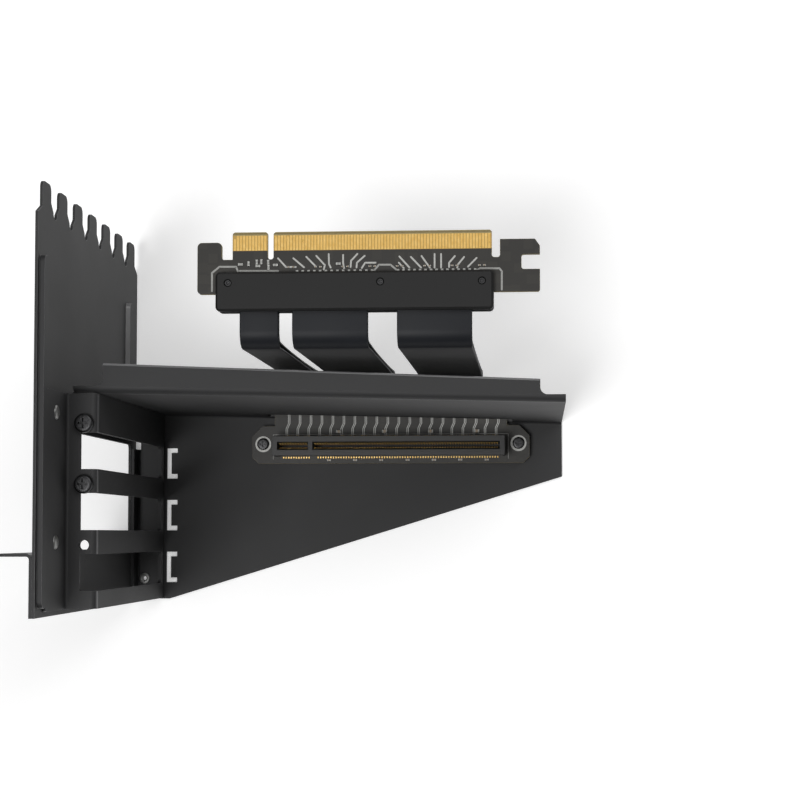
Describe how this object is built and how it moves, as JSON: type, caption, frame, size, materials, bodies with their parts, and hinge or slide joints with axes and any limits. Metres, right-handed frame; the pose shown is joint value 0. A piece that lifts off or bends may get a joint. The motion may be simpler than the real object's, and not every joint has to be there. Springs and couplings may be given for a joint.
{
  "type": "vertical graphics card mount",
  "caption": "Folded steel mount that turns a graphics card upright in a computer case, with a card socket, flat ribbons and a plug-in edge board.",
  "frame": {"origin": "centre of the seven case screw holes, on the case flange's seat face", "axes": "+X to the front of the case, along the tray; +Y to the motherboard, the way the slot tabs point; +Z across the slots, away from the tray's base"},
  "size_m": [0.1802, 0.1405, 0.1422],
  "materials": {
    "black_powder_coated_steel": "fine matte powder coat",
    "zinc_plated_steel": "satin zinc plating",
    "blackened_steel": "black oxide, slightly oily sheen",
    "black_circuit_board": "satin solder mask",
    "black_socket_plastic": "fine moulded grain",
    "gold_plating": "thin bright gold",
    "turned_brass": "turned, dull",
    "ceramic_chip": "fired ceramic",
    "moulded_cover_plastic": "fine matte moulded grain",
    "dark_ribbon_film": "satin film"
  },
  "bodies": {
    "root": {"rear_plate": "black_powder_coated_steel", "case_flange": "black_powder_coated_steel", "io_bracket": "black_powder_coated_steel", "tray": "black_powder_coated_steel", "frame_rivets": "zinc_plated_steel", "gpu_screws": "blackened_steel", "board_screws": "blackened_steel", "socket_board": "black_circuit_board", "edge_board": "black_circuit_board", "socket_housing": "black_socket_plastic", "edge_contacts_upper": "gold_plating", "edge_contacts_lower": "gold_plating", "board_spacers": "turned_brass", "board_capacitors": "ceramic_chip", "edge_capacitors": "ceramic_chip", "ribbon_clamp_upper": "moulded_cover_plastic", "ribbon_clamp_lower": "moulded_cover_plastic", "connector_cover_upper": "moulded_cover_plastic", "connector_cover_lower": "moulded_cover_plastic", "ribbon_narrow_front": "dark_ribbon_film", "ribbon_narrow_back": "dark_ribbon_film", "ribbon_middle_front": "dark_ribbon_film", "ribbon_middle_back": "dark_ribbon_film", "ribbon_wide_front": "dark_ribbon_film", "ribbon_wide_back": "dark_ribbon_film"}
  },
  "joints": []
}
